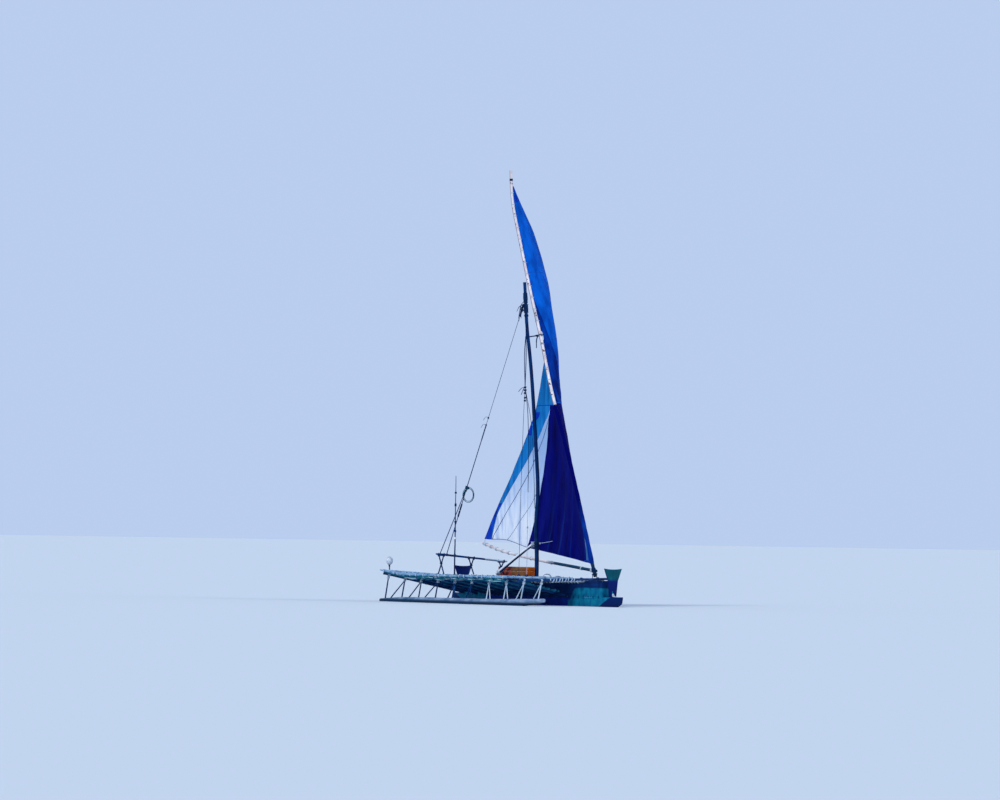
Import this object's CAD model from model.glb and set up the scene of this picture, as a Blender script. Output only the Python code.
import math
import random

import bmesh
import bpy
from mathutils import Matrix, Vector, noise


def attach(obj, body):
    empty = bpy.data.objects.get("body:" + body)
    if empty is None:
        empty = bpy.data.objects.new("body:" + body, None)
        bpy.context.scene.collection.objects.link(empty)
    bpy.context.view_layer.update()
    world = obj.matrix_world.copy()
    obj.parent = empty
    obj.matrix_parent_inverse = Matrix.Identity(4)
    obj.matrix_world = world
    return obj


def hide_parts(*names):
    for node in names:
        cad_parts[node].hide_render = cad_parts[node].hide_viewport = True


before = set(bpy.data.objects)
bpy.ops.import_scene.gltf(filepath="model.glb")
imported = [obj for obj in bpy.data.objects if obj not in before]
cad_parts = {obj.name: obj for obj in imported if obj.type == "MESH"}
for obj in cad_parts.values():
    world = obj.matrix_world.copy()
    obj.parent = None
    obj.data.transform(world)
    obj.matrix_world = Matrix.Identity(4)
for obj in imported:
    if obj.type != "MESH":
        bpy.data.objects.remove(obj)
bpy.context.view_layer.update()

# Camera: a long lens from the height of a small boat, off the bow and to windward.
# It is a little rolled, so the horizon drops to the right.
PHOTO_WIDTH, PIXELS_PER_METRE = 1000, 37.0
DISTANCE, EYE_HEIGHT = 187.0, 1.846
BEARING, ROLL = math.radians(60), 0.016
HORIZON_UNDER_MIDDLE, ORIGIN_RIGHT, ORIGIN_UNDER = 135.7, 36.0, 204.0

focal = PIXELS_PER_METRE * DISTANCE
right = Vector((math.cos(BEARING), math.sin(BEARING), 0))
ahead = Vector((-math.sin(BEARING), math.cos(BEARING), 0))
upward = Vector((0, 0, 1))
eye = upward * EYE_HEIGHT - ahead * DISTANCE
side_step = ORIGIN_RIGHT * math.cos(ROLL) + ORIGIN_UNDER * math.sin(ROLL)
yaw = math.atan(side_step / focal)
pitch = math.atan(HORIZON_UNDER_MIDDLE * math.cos(ROLL) / focal)
level_right = right * math.cos(yaw) + ahead * math.sin(yaw)
level_ahead = ahead * math.cos(yaw) - right * math.sin(yaw)
look = level_ahead * math.cos(pitch) + upward * math.sin(pitch)
over = level_right.cross(look)
cam_right = level_right * math.cos(ROLL) + over * math.sin(ROLL)
cam_up = over * math.cos(ROLL) - level_right * math.sin(ROLL)

bpy.ops.object.camera_add(location=eye)
camera = bpy.context.object
camera.matrix_world = Matrix.Translation(eye) @ Matrix((cam_right, cam_up, -look)).transposed().to_4x4()
camera.data.sensor_width = 36
camera.data.lens = 36 * focal / PHOTO_WIDTH
camera.data.clip_end = 5000
bpy.context.scene.camera = camera


# Spare coil: a soft rope wound in five turns and hung from the knot of the windward stay.
# It leaves the knot, goes round, and its bare end lies in the coil.
def hex_colour(code):
    """An sRGB hex value as a linear colour."""
    parts = [int(code[i:i + 2], 16) / 255 for i in (0, 2, 4)]
    return (*(p / 12.92 if p <= 0.04045 else ((p + 0.055) / 1.055) ** 2.4 for p in parts), 1)


def feed(node, inputs):
    """Each input gets a value, or a link from a socket or from a node's main output."""
    for key, source in inputs.items():
        if isinstance(source, bpy.types.Node):
            source = source.outputs[2 if source.type == "MIX" else 0]
        if isinstance(source, bpy.types.NodeSocket):
            node.id_data.links.new(source, node.inputs[key])
        else:
            node.inputs[key].default_value = source
    return node


def add_node(tree, kind, inputs, **settings):
    """A node with its settings, and its inputs fed."""
    node = tree.nodes.new("ShaderNode" + kind)
    for key, value in settings.items():
        setattr(node, key, value)
    return feed(node, inputs)


def start_material(name, roughness, specular):
    """A new material, with its tree, its surface shader and the coordinates on it."""
    material = bpy.data.materials.new(name)
    material.use_nodes = True
    tree = material.node_tree
    surface = feed(tree.nodes["Principled BSDF"], {"Roughness": roughness, "Specular IOR Level": specular})
    return material, tree, surface, add_node(tree, "TexCoord", {}).outputs


def ramp(tree, source, stops):
    """A colour ramp from places and hex colours."""
    node = add_node(tree, "ValToRGB", {"Fac": source})
    for _ in stops[2:]:
        node.color_ramp.elements.new(0.5)
    for element, (place, colour) in zip(node.color_ramp.elements, stops):
        element.position = place
        element.color = hex_colour(colour)
    return node


# Laid rope of split fibre or twine: matt, with a twist of about 8 mm drawn coarser so that it shows.
def laid_rope(name, pale, dark):
    material, tree, surface, place = start_material(name, 0.9, 0.1)
    strands = add_node(tree, "TexWave", {"Vector": place["Object"], "Scale": 34.0, "Distortion": 2.0},
                       bands_direction="DIAGONAL").outputs["Fac"]
    bump = add_node(tree, "Bump", {"Height": strands, "Strength": 0.5, "Distance": 0.002})
    feed(surface, {"Base Color": ramp(tree, strands, [(0.15, dark), (0.75, pale)]), "Normal": bump})
    return material


def between(before, low, high, after, t):
    """A value on the smooth curve from low to high, which passes through before and after."""
    return 0.5 * (2 * low + (high - before) * t + (2 * before - 5 * low + 4 * high - after) * t ** 2
                  + (3 * low - before - 3 * high + after) * t ** 3)


def smooth_line(points, each=6):
    """The points of a smooth line through a few given ones."""
    spots = [Vector(p) for p in points]
    if len(spots) < 3:
        return [spots[0].lerp(spots[-1], k / each) for k in range(each + 1)]
    ends = [spots[0] * 2 - spots[1], *spots, spots[-1] * 2 - spots[-2]]
    pieces = zip(ends, ends[1:], ends[2:], ends[3:])
    return [*(between(*four, k / each) for four in pieces for k in range(each)), spots[-1]]


def make_active(piece):
    bpy.ops.object.select_all(action="DESELECT")
    piece.select_set(True)
    bpy.context.view_layer.objects.active = piece


def edit_all():
    """Edit mode, with all of the active piece selected."""
    bpy.ops.object.mode_set(mode="EDIT")
    bpy.ops.mesh.select_all(action="SELECT")


def leave_smooth(angle):
    """Back to object mode, smooth but for the edges that are sharper than an angle."""
    bpy.ops.object.mode_set(mode="OBJECT")
    bpy.ops.object.shade_smooth_by_angle(angle=math.radians(angle))


def dress(piece, material, slot, body="canoe", stands_for=None):
    """A finished piece gets its material, its slot, its body and the node that it stands for."""
    piece.data.materials.clear()
    piece.data.materials.append(material)
    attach(piece, body)
    if stands_for:
        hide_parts(stands_for)
    return piece


def tubes(name, lines, material, slot, fineness=1, **rest):
    """One piece of round tubes, each a list of points with one radius or with a list of them."""
    bpy.ops.object.select_all(action="DESELECT")
    bpy.ops.curve.primitive_nurbs_path_add()
    curve = bpy.context.object.data
    curve.splines.clear()
    curve.bevel_depth = 1
    curve.bevel_resolution = fineness
    curve.use_fill_caps = True
    for points, radii in lines:
        spline = curve.splines.new("POLY")
        spline.points.add(len(points) - 1)
        for k, (spot, point) in enumerate(zip(spline.points, points)):
            spot.co = (*point, 1)
            spot.radius = radii[k] if isinstance(radii, list) else radii
    bpy.ops.object.convert(target="MESH")
    bpy.context.object.name = name
    edit_all()
    bpy.ops.mesh.remove_doubles(threshold=1e-5)
    bpy.ops.mesh.normals_make_consistent(inside=False)
    leave_smooth(50)
    return dress(bpy.context.object, material, slot, **rest)


COIL_MIDDLE, KNOT = Vector((-0.875, -1.658, 2.93)), Vector((-0.94, -1.67, 3.14))
COIL_RADIUS, COIL_TURNS, COIL_STEPS, COIL_ROPE = 0.165, 5, 24, 0.014

coil_flat = Matrix.Rotation(math.pi / 3, 3, "Z") @ Matrix.Rotation(math.pi / 2, 3, "X")
coil_points = []
for step in range(COIL_TURNS * COIL_STEPS + 1):
    turn_at = step / COIL_STEPS
    angle = math.pi / 2 + turn_at * 2 * math.pi
    radius = COIL_RADIUS + 0.019 * math.cos(2.1 * turn_at)
    across = (turn_at / COIL_TURNS - 0.5) * 0.054
    flat = Vector((radius * 0.85 * math.cos(angle), radius * 1.15 * math.sin(angle), across))
    coil_points.append(COIL_MIDDLE + coil_flat @ flat)
rope_teal = laid_rope("three_strand_rope_teal", "1E6E7C", "06304C")
spare_coil = tubes("spare_coil_rope", [(coil_points, COIL_ROPE / 2)], rope_teal, "rope_teal",
                   stands_for="spare_coil")

# Floor: a plain pale sheet at the waterline, with a hole where the hull's inside is lower.
# Two soft suns and a pale sky light it, as in a studio.
FLOOR_REACH = 1500.0
HULL_TIP, HULL_BOARD = 4.51, 4.05
HULL_HALF, HULL_BOARD_HALF, HULL_TIP_HALF = 0.25, 0.17, 0.05


def reach(x):
    return abs(x) / HULL_BOARD


def half_beam(x):
    """Half the width of the dugout's edge."""
    if reach(x) <= 1:
        return HULL_HALF + (HULL_BOARD_HALF - HULL_HALF) * reach(x) ** 2
    past = (abs(x) - HULL_BOARD) / (HULL_TIP - HULL_BOARD)
    return HULL_BOARD_HALF + (HULL_TIP_HALF - HULL_BOARD_HALF) * past


floor_mesh = bmesh.new()
stations = [-3.7 + 7.4 * k / 12 for k in range(13)]
hole = [(x, half_beam(x) * 0.78) for x in stations]
hole += [(x, -y) for x, y in reversed(hole)]
inner = [floor_mesh.verts.new((x, y, 0)) for x, y in hole]
outer = [floor_mesh.verts.new((x * 400, math.copysign(FLOOR_REACH, y), 0)) for x, y in hole]
for k in range(len(inner)):
    after = (k + 1) % len(inner)
    floor_mesh.faces.new((inner[k], inner[after], outer[after], outer[k]))
bmesh.ops.recalc_face_normals(floor_mesh, faces=floor_mesh.faces)
floor_data = bpy.data.meshes.new("floor")
floor_mesh.to_mesh(floor_data)
floor = bpy.data.objects.new("floor", floor_data)
bpy.context.collection.objects.link(floor)
pale_floor, _, floor_surface, _ = start_material("pale_studio_floor", 0.9, 0.2)
feed(floor_surface, {"Base Color": hex_colour("CDD4D8")})
floor_data.materials.append(pale_floor)

world = bpy.data.worlds.new("pale_sky")
bpy.context.scene.world = world
world.use_nodes = True
feed(world.node_tree.nodes["Background"], {"Color": hex_colour("BED2F4"), "Strength": 0.95})
for sun_name, strength, tilt, bearing in (("key", 1.4, 48, 20), ("fill", 0.6, 60, 130)):
    bpy.ops.object.light_add(type="SUN", rotation=(math.radians(tilt), 0, math.radians(bearing)))
    sun = bpy.context.object
    sun.name = sun_name
    sun.data.energy = strength
    sun.data.angle = math.radians(12)
bpy.context.scene.view_settings.view_transform = "Standard"


# Main hull: one log hollowed with an adze, tarred dark outside, with solid upturned tips.
# Its ends are painted green low down, and the paint is worn through in places.
def mix_colours(tree, mask, under, upper, surface):
    """The upper colour shows over the under one where the mask is 1."""
    under, upper = (hex_colour(c) if isinstance(c, str) else c for c in (under, upper))
    mix = add_node(tree, "Mix", {}, data_type="RGBA")
    feed(mix, {"Factor": mask, 6: under, 7: upper})
    feed(surface, {"Base Color": mix})
    return mix


def fade(tree, source, axis, start, end, both_ways=False):
    """A mask that goes from 0 to 1 between two places along an axis, or along it both ways."""
    along = add_node(tree, "SeparateXYZ", {0: source}).outputs[axis]
    if both_ways:
        along = add_node(tree, "Math", {0: along}, operation="ABSOLUTE")
    return add_node(tree, "MapRange", {"Value": along, "From Min": start, "From Max": end})


# Wood, bare or thinly painted. Its grain is about 6 mm wide, drawn to 25 mm so that it shows.
def weathered_wood(name, pale, dark, along="X", roughness=0.8, wear=None, over=(), finish=None):
    material, tree, surface, place = start_material(name, roughness, 0.08)
    scale = [1.6 if axis == along else 38.0 for axis in "XYZ"]
    stretch = add_node(tree, "Mapping", {"Vector": place["Object"], "Scale": scale})
    fibres = add_node(tree, "TexNoise", {"Vector": stretch, "Scale": 1.0, "Detail": 5.0, "Roughness": 0.6})
    blotches = add_node(tree, "TexNoise", {"Vector": place["Object"], "Scale": 3.5, "Detail": 4.0})
    blend = add_node(tree, "Math", {0: fibres, 1: blotches}, operation="ADD")
    half = add_node(tree, "Math", {0: blend, 1: 0.5}, operation="MULTIPLY")
    colour = ramp(tree, half, [(0.38, dark), (0.62, pale), (0.68, wear)][:3 if wear else 2])
    bump = add_node(tree, "Bump", {"Height": fibres, "Strength": 0.45, "Distance": 0.006})
    feed(surface, {"Base Color": colour, "Normal": bump})
    for source, axis, start, end, upper, *both_ways in over:
        mask = fade(tree, place[source], axis, start, end, *both_ways)
        colour = mix_colours(tree, mask, colour, upper, surface)
    if finish:
        finish(tree, surface, colour, place)
    return material


def rework(name, node, material, slot, cuts=0, rough=0.0, bevel=0.0):
    """A copy of a node's mesh stands for it: merged, cut finer, and a little uneven from hand tools."""
    copy = bpy.data.objects[node].copy()
    copy.data = copy.data.copy()
    bpy.context.collection.objects.link(copy)
    copy.name = name
    copy.data.name = name
    make_active(copy)
    edit_all()
    bpy.ops.mesh.remove_doubles(threshold=1e-4)
    bpy.ops.mesh.tris_convert_to_quads()
    if cuts:
        bpy.ops.mesh.subdivide(number_cuts=cuts, smoothness=0.0)
    bpy.ops.object.mode_set(mode="OBJECT")
    if rough:
        shape = copy.data
        for vertex, normal in zip(shape.vertices, [v.normal.copy() for v in shape.vertices]):
            vertex.co += normal * rough * (noise.fractal(vertex.co * 4.0, 0.9, 2.0, 3) - 0.35)
    if bevel:
        edges = copy.modifiers.new("worn_edges", "BEVEL")
        edges.width = bevel
        edges.segments = 2
        edges.limit_method = "ANGLE"
        edges.angle_limit = math.radians(40)
        bpy.ops.object.modifier_apply(modifier=edges.name)
    leave_smooth(35)
    return dress(copy, material, slot, stands_for=node)


PAINT_FROM, PAINT_TOP, PAINT_SLANT = 2.1, 0.49, 0.9
PAINT_TIP, TIP_SLOPE = 3.6, 0.45


def end_paint(tree, surface, bare, place):
    """Green paint low on each end of the hull, worn ragged at its slanting edge, and a bare dark nose."""
    parts = add_node(tree, "SeparateXYZ", {0: place["Object"]}).outputs
    away = add_node(tree, "Math", {0: parts["X"]}, operation="ABSOLUTE")
    edge = add_node(tree, "Math", {0: parts["Z"], 1: -PAINT_SLANT, 2: away}, operation="MULTIPLY_ADD")
    ragged = add_node(tree, "TexNoise", {"Vector": place["Object"], "Scale": 4.0, "Detail": 5.0})
    loose = add_node(tree, "Math", {0: edge, 1: ragged}, operation="ADD")
    mask = add_node(tree, "MapRange", {"Value": loose, "From Min": PAINT_FROM + 0.4,
                                       "From Max": PAINT_FROM + 0.52})
    low = add_node(tree, "MapRange", {"Value": parts["Z"], "From Min": PAINT_TOP + 0.02,
                                      "From Max": PAINT_TOP - 0.02})
    tip = add_node(tree, "Math", {0: away, 1: TIP_SLOPE, 2: -PAINT_TIP * TIP_SLOPE}, operation="MULTIPLY_ADD")
    short = add_node(tree, "Math", {0: parts["Z"], 1: tip}, operation="GREATER_THAN")
    for limit in (low, short):
        mask = add_node(tree, "Math", {0: mask, 1: limit}, operation="MULTIPLY")
    patches = add_node(tree, "TexNoise", {"Vector": place["Object"], "Scale": 5.0, "Detail": 6.0})
    paint = ramp(tree, patches, [(0.3, "015078"), (0.52, "027294"), (0.75, "148A98")])
    painted = mix_colours(tree, mask, bare, paint, surface)
    mix_colours(tree, short, "03225A", painted, surface)


tarred = weathered_wood("tarred_dugout_log", "0836A0", "031868", "X", 0.75, finish=end_paint)
rework("dugout_log", "dugout_hull", tarred, "hull_dark", cuts=2, rough=0.004)

# Washstrakes: one sawn plank a side, painted dark teal with green ends, and sewn to the dugout's edge.
# The stitches are tarred twine through pairs of holes, and short bent knees stiffen it inside.
EDGE, EDGE_RISE = 0.22, 0.04
SHEER, SHEER_RISE, FLARE, STRAKE = 0.605, 0.055, 0.025, 0.022
RAIL_D = 0.05
STITCHES, STITCH_STEP, STITCH_LEAN, STITCH_R = 30, 0.25, 0.0175, 0.004
KNEES, KNEE_STEP, KNEE_R = 9, 0.86, 0.016


def edge_z(x):
    return EDGE + EDGE_RISE * reach(x) ** 2


def sheer(x):
    return SHEER + SHEER_RISE * reach(x) ** 2


strake_paint = weathered_wood("navy_teal_painted_plank", "08346E", "022050", "X", 0.65, wear="184A7C",
                              finish=end_paint)
for side_name in ("windward", "leeward"):
    rework("washstrake_plank_" + side_name, "washstrake_" + side_name, strake_paint, "strake_teal",
           bevel=0.004)

rope_pale = laid_rope("coconut_twine_pale", "DCE8F2", "8AA2B6")
rope_dark = laid_rope("tarred_twine_dark", "123A66", "061C40")
stitch_lines, knee_lines = [], []
for sign in (-1, 1):
    for k in range(STITCHES):
        x = (k - (STITCHES - 1) / 2) * STITCH_STEP
        y = sign * (half_beam(x) + 0.004)
        z = edge_z(x)
        for lean in (-STITCH_LEAN, STITCH_LEAN):
            stitch_lines.append(([(x - lean, y * 0.99, z - 0.03), (x, y, z),
                                  (x + lean, y + sign * 0.004, z + 0.042)], STITCH_R))
    for k in range(KNEES):
        x = (k - 4) * KNEE_STEP + 0.2
        bend = ((0.075, edge_z(x) - 0.17), (0.055, edge_z(x) - 0.02), (0.038, edge_z(x) + 0.15),
                (0.018, sheer(x) - 0.02))
        knee = smooth_line([(x, sign * (half_beam(x) - inward), z) for inward, z in bend], 4)
        knee_lines.append((knee, KNEE_R))
tubes("washstrake_stitches", stitch_lines, rope_dark, "rope_dark")
grey_pole = weathered_wood("weathered_grey_pole", "BFC3BE", "5F6C70", "X", 0.85, wear="DADBD2")
tubes("washstrake_knees", knee_lines, grey_pole, "pole_grey")


# Rails: a peeled pole along the top of each washstrake, lashed down through the plank.
# Its middle is bare and grey, and both ends are painted navy.
def rail_middle(x, sign=-1):
    """The middle of a rail, to windward or to leeward."""
    return x, sign * (half_beam(x) - STRAKE / 2 + FLARE), sheer(x) + RAIL_D / 2


def natural_pole(points, start, end, wobble=0.006, seed=0, each=5):
    """Points and radii of a pole as it grew: a little crooked and uneven."""
    line = smooth_line(points, each)
    out, radii = [], []
    for k, spot in enumerate(line):
        t = k / (len(line) - 1)
        shift = Vector([noise.noise(spot * 1.7 + Vector((seed * 3.1, 0, axis * 17.3))) for axis in range(3)])
        out.append(spot + shift * wobble * min(1, 6 * t, 6 * (1 - t)))
        swell = 1 + 0.07 * noise.noise(spot * 5.0 + Vector((seed, 0, 0)))
        radii.append((start + (end - start) * t) / 2 * swell)
    return out, radii


RAIL_POLE = RAIL_D - 0.003
rail_wood = weathered_wood("half_painted_rail_pole", "A9BCC4", "587080", wear="D2DADA",
                           over=[("Object", "X", 2.9, 3.02, "0A2A62", True)])
for sign, side_name in ((-1, "windward"), (1, "leeward")):
    spots = [rail_middle(x, sign) for x in (-3.78, -2.4, 0, 2.4, 3.78)]
    tubes("rail_pole_" + side_name, [natural_pole(spots, RAIL_POLE, RAIL_POLE, 0.002)], rail_wood,
          "pole_grey", fineness=2, stands_for="rail_" + side_name)

# Bulkheads: a plank across each end of the washstrakes, painted as they are.
# It is let in between them and sewn with twine.
for end_name in ("bow", "stern"):
    rework("bulkhead_plank_" + end_name, "bulkhead_" + end_name, strake_paint, "strake_teal", bevel=0.004)

# End boards: a fan on a narrow column at each end, sawn from one wide plank.
# The fan's outer face is dark green and the rest dark navy, and its top edge is worn to pale wood.
FAN_FROM, FAN_FULL, FAN_TOP = 0.68, 0.76, 0.975
board_green = weathered_wood("green_painted_board", "065766", "033A4C", "Z", 0.65, wear="1F7C86",
                             over=[("Object", "Z", FAN_FULL, FAN_FROM, "031C62")])
board_navy = weathered_wood("navy_painted_board", "08266A", "021246", "Z", 0.7, wear="164278")
bare_edge = weathered_wood("bare_worn_edge", "A6D4EA", "5C9CC4", "Y", 0.7)
for end_sign, end_name in ((1, "bow"), (-1, "stern")):
    fan = rework("end_board_fan_" + end_name, "end_board_" + end_name, board_green, "board_green",
                 bevel=0.006)
    fan.data.materials.append(board_navy)
    fan.data.materials.append(bare_edge)
    for face in fan.data.polygons:
        if face.normal.z > 0.5 and face.center.z > FAN_TOP:
            face.material_index = 2
        elif face.normal.x * end_sign < 0.5:
            face.material_index = 1

# End board lashings: five turns of pale twine through each board's slot.
# They hold the board to the hull's tip.
SLOT_WAY = ((-0.025, 1, 0.33), (0.024, 1, 0.35), (0.045, 1.6, 0.29), (0.16, 2, 0.266))
slot_lines = []
for end_sign in (1, -1):
    for k in range(5):
        y = -0.02 + k * 0.01
        turn = [(end_sign * (HULL_BOARD + out), y * spread, z) for out, spread, z in SLOT_WAY]
        slot_lines.append((smooth_line(turn, 3), 0.0055))
tubes("end_board_lashings", slot_lines, rope_pale, "rope_pale")

# Outrigger booms: ten thin poles cut from saplings, tied down on the dugout's edge.
# They rise to the float's side, and the last two to the bow lie over the rails.
BOOMS, LOW_BOOMS, LOW_DROP, BOOM_SEAT = 10, 8, 0.034, 0.037
BOOM_IN, BOOM_OUT, BOOM_D, BOOM_END, BOOM_OUT_Z = 0.82, 0.93, 0.064, -2.42, 0.675
DECK_STERN, LIFT_FROM, LIFT = -4.43, -2.6, 0.115
DECK_INNER, DECK_FLOAT = -0.36, -2.36
dark_pole = weathered_wood("wet_dark_sapling", "174A80", "062052", "Y", wear="5088AC")


def lift(x):
    """How much higher the platform and what carries it are, aft."""
    return LIFT * max(0, (LIFT_FROM - x) / (LIFT_FROM - DECK_STERN)) ** 2


def deck_lift(x, y):
    """How much higher the platform is: the sweep is over the float, and it is level over the hull."""
    return lift(x) * min(1, max(0, (DECK_INNER - y) / (DECK_INNER - DECK_FLOAT)))


def boom_x(k, step=BOOM_OUT):
    return (k - (BOOMS - 1) / 2) * step


def boom_spots(k):
    in_x, out_x = boom_x(k, BOOM_IN), boom_x(k)
    base, drop = (edge_z(in_x), LOW_DROP) if k < LOW_BOOMS else (sheer(in_x) + RAIL_D, 0)
    return [(in_x, 0.33, base + BOOM_SEAT), (in_x, -half_beam(in_x), base + BOOM_SEAT),
            (in_x + (out_x - in_x) * 0.9, -2.15, BOOM_OUT_Z + lift(out_x) * 0.85 - drop),
            (out_x, BOOM_END, BOOM_OUT_Z + lift(out_x))]


for k in range(BOOMS):
    number = f"{k + 1:02d}"
    tubes("boom_sapling_" + number, [natural_pole(boom_spots(k), BOOM_D, BOOM_D - 0.006, 0.003, k, 7)],
          dark_pole, "pole_teal", fineness=2, stands_for="outrigger_boom_" + number)

# Pole lattice: thin poles laid fore and aft on the sloping booms, with three sticks across them.
# It fills the space under the platform, where spare gear and catch are kept out of the sun.
LATTICE_FROM, LATTICE_TO, LATTICE_COUNT, LATTICE_D = -1.74, -0.55, 8, 0.056
above = Vector((0, 0, (BOOM_D + LATTICE_D) / 2 + 0.006))


def lattice_y(i):
    return LATTICE_FROM + (LATTICE_TO - LATTICE_FROM) * i / (LATTICE_COUNT - 1)


def at_y(line, y):
    """The point of a line of points at a distance off the centreline."""
    for inner_point, outer_point in zip(line, line[1:]):
        if inner_point.y >= y >= outer_point.y:
            return inner_point.lerp(outer_point, (inner_point.y - y) / (inner_point.y - outer_point.y))
    return line[-1].copy()


boom_curves = [smooth_line(boom_spots(k), 12) for k in range(BOOMS)]
lattice_lines = []
for i in range(LATTICE_COUNT):
    spots = [at_y(curve, lattice_y(i)) + above for curve in boom_curves[:LOW_BOOMS]]
    past = Vector((0.12 + 0.06 * math.sin(i * 2.4), 0, 0))
    spots = [spots[0] - past, *spots, spots[-1] + past]
    lattice_lines.append(natural_pole(spots, LATTICE_D, LATTICE_D - 0.008, 0.005, i, 3))
for k in (0, 3, 6):
    ends = [(at_y(boom_curves[k], y) + at_y(boom_curves[k + 1], y)) / 2 + above + Vector((0, 0, 0.011))
            for y in (LATTICE_FROM - 0.06, LATTICE_TO + 0.06)]
    lattice_lines.append(natural_pole(ends, 0.043, 0.038, 0.003, k, 8))
lattice_pole = weathered_wood("damp_green_pole", "2A92A8", "0E4C8A", "X", 0.85, wear="6FB0C0")
tubes("pole_lattice", lattice_lines, lattice_pole, "pole_teal", stands_for="boom_lattice")

# Float struts: a post under each boom, and slanting sticks tied to its head, driven into the float.
# Those towards the bow are fresh peeled sticks, and the others are old and dark.
FLOAT_HALF, FLOAT_Z, FLOAT_BOW = 4.46, 0.03, 0.13
LEGS = [[], [-0.68], [-0.62], [-0.7], [-0.3, 0.13], [-0.24], [0.24], [0.26], [-0.32], [-0.3]]
HEAD_PART, FIRST_PEELED = 0.93, 6
pale_stick = weathered_wood("peeled_pale_stick", "CFE0EE", "88A4BC", "Z")
dark_stick = weathered_wood("old_dark_stick", "0C3A6E", "04204A", "Z", 0.85, wear="3A7098")


def float_z(x):
    return FLOAT_Z + FLOAT_BOW * max(0, x / FLOAT_HALF) ** 3


strut_heads = []
for k in range(BOOMS):
    number = f"{k + 1:02d}"
    x = boom_x(k)
    foot = Vector((x, -2.352, float_z(x) + 0.05))
    head = Vector((x, -2.254, BOOM_OUT_Z + lift(x) - (0.064 if k < LOW_BOOMS else 0.04)))
    strut_heads.append(foot.lerp(head, HEAD_PART))
    stick, thick = (pale_stick, 0.036) if k >= FIRST_PEELED else (dark_stick, 0.042)
    sticks = [natural_pole([foot, head], thick, thick - 0.006, 0.003, k)]
    for away in LEGS[k]:
        leg_foot = Vector((x + away, -2.35, float_z(x + away) + 0.03))
        past = strut_heads[k].lerp(leg_foot, -0.06)
        sticks.append(natural_pole([leg_foot, past], thick - 0.007, thick - 0.013, 0.004, k + away))
    tubes("strut_sticks_" + number, sticks, stick, "pole_teal", fineness=2,
          stands_for="float_struts_" + number)

# Float: one light log of soft wood, rounded and pointed with an adze.
# It is grey from sun and salt, and darker where it is wet.
DRY_FROM, WET_TO = 0.12, 0.06
float_wood = weathered_wood("sun_grey_log", "98ACC4", "44668E", "X", 0.85,
                            over=[("Object", "Z", DRY_FROM, WET_TO, "14304A")])
rework("float_log", "outrigger_float", float_wood, "float_wood", cuts=2, rough=0.006)

# Platform: poles laid fore and aft on squared bearers and the booms, with ragged ends.
# Two long poles run on to the bow along the outer edge, and the stern sweeps up a little.
DECK_TOP, DECK_POLE = 0.77, 0.058
DECK_ROWS, DECK_OUTER, DECK_WIDTH = 36, -2.385, 2.675
deck_lines = []
random.seed(7)
for k in range(DECK_ROWS):
    y = DECK_OUTER + k * DECK_WIDTH / (DECK_ROWS - 1)
    ragged = 0.1 * math.sin(k * 2.4)
    width = DECK_POLE * random.uniform(0.72, 0.98)
    z = DECK_TOP - 0.002 - width / 2
    stops = [DECK_STERN + ragged, -3.72, LIFT_FROM, 0, 2.65 + ragged * 0.8]
    if y > -0.34:
        stops = [-2.12 + ragged * 0.4, -1.2, -0.2]
    spots = [(x, y, z + deck_lift(x, y)) for x in stops]
    deck_lines.append(natural_pole(spots, width * 0.85, width, 0.007, k, 6))
for y in (-2.382, -2.33):
    spots = [(2.3, y, DECK_TOP - 0.024), (4.33 + y + 2.4, y, DECK_TOP - 0.016)]
    deck_lines.append(natural_pole(spots, 0.042, 0.036, 0.004, 9, 9))
deck_grey = weathered_wood("sun_bleached_deck_pole", "A0C2D8", "4274A4", "X", 0.9, wear="E0EAEC")
tubes("deck_pole_floor", deck_lines, deck_grey, "pole_grey", stands_for="platform_deck")

BEARERS = (-3.72, -2.79, -1.86, -0.93, -0.3, 0.93, 1.86, 2.5)
BEARER_MIDDLE, BEARER_D = 0.694, 0.046
bearer_lines = []
for x in BEARERS:
    inner_end = 0.34 if -2.1 < x < -0.2 else -0.17 if abs(x) < 2 else -0.32
    ends = [(x, y, BEARER_MIDDLE + deck_lift(x, y)) for y in (-2.42, inner_end)]
    bearer_lines.append(natural_pole(ends, BEARER_D, BEARER_D, 0.002, x, 8))
tubes("deck_bearers", bearer_lines, dark_pole, "pole_teal")

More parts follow.
